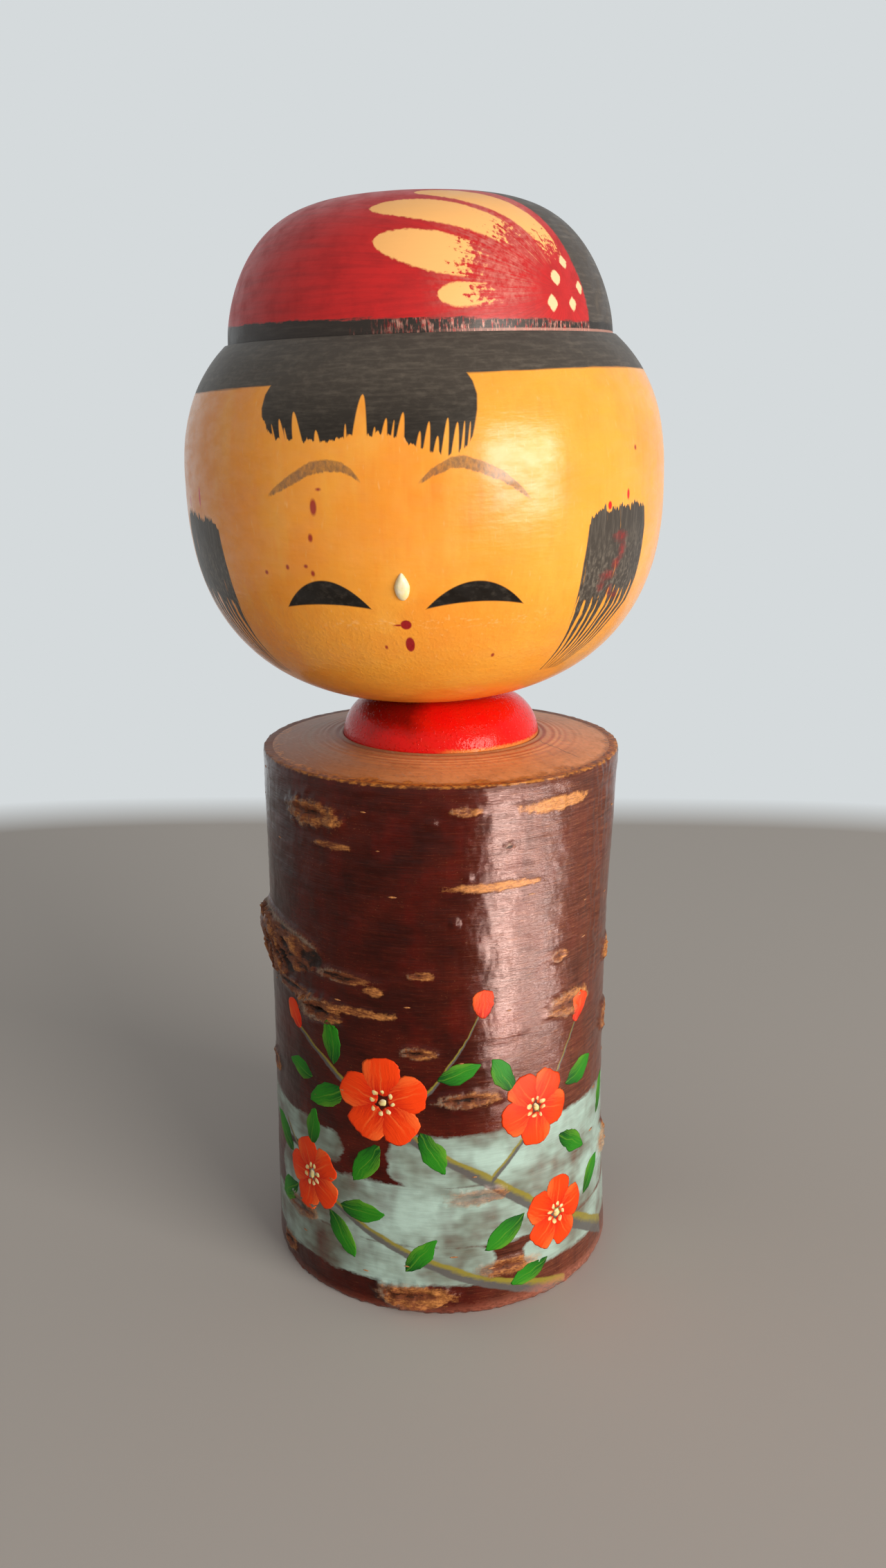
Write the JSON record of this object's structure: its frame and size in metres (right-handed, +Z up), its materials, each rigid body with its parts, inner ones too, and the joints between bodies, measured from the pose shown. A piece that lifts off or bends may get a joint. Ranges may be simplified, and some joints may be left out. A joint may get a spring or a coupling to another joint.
{
  "type": "kokeshi doll",
  "caption": "Kokeshi doll: a bark-covered log body, a red neck collar and a round painted head that turns on a hidden dowel. It stands on its flat sawn foot.",
  "frame": {"origin": "centre of the log's sawn foot, on the surface that the doll stands on", "axes": "+Z up along the log, the painted face looks towards -Y, +X to the right of someone who faces the doll"},
  "size_m": [0.0762, 0.0762, 0.1768],
  "materials": {
    "log_wood": "turned end grain, brown and waxed",
    "bark": "dark red-brown cherry bark, varnished, with a painted design",
    "branch_wood": "rough healed bark, varnished",
    "red_lacquer": "turned wood in glossy red lacquer",
    "dowel_wood": "bare turned wood",
    "head_wood": "turned wood, orange under varnish, with painted hair and face",
    "cap_paint": "turned wood in red and black paint, with bare petals",
    "white_paint": "thick drop of cream paint"
  },
  "bodies": {
    "torso": {"log_core": "log_wood", "bark_sleeve": "bark", "branch_knot": "branch_wood", "neck_collar": "red_lacquer", "neck_dowel": "dowel_wood"},
    "head": {"head_block": "head_wood", "head_cap": "cap_paint", "nose_drop": "white_paint"}
  },
  "joints": [
    {"name": "head_turn", "type": "hinge", "parent": "torso", "child": "head", "pos_m": [0, 0, 0.05], "axis": [-0.029, 0, 0.9996], "continuous": true}
  ]
}
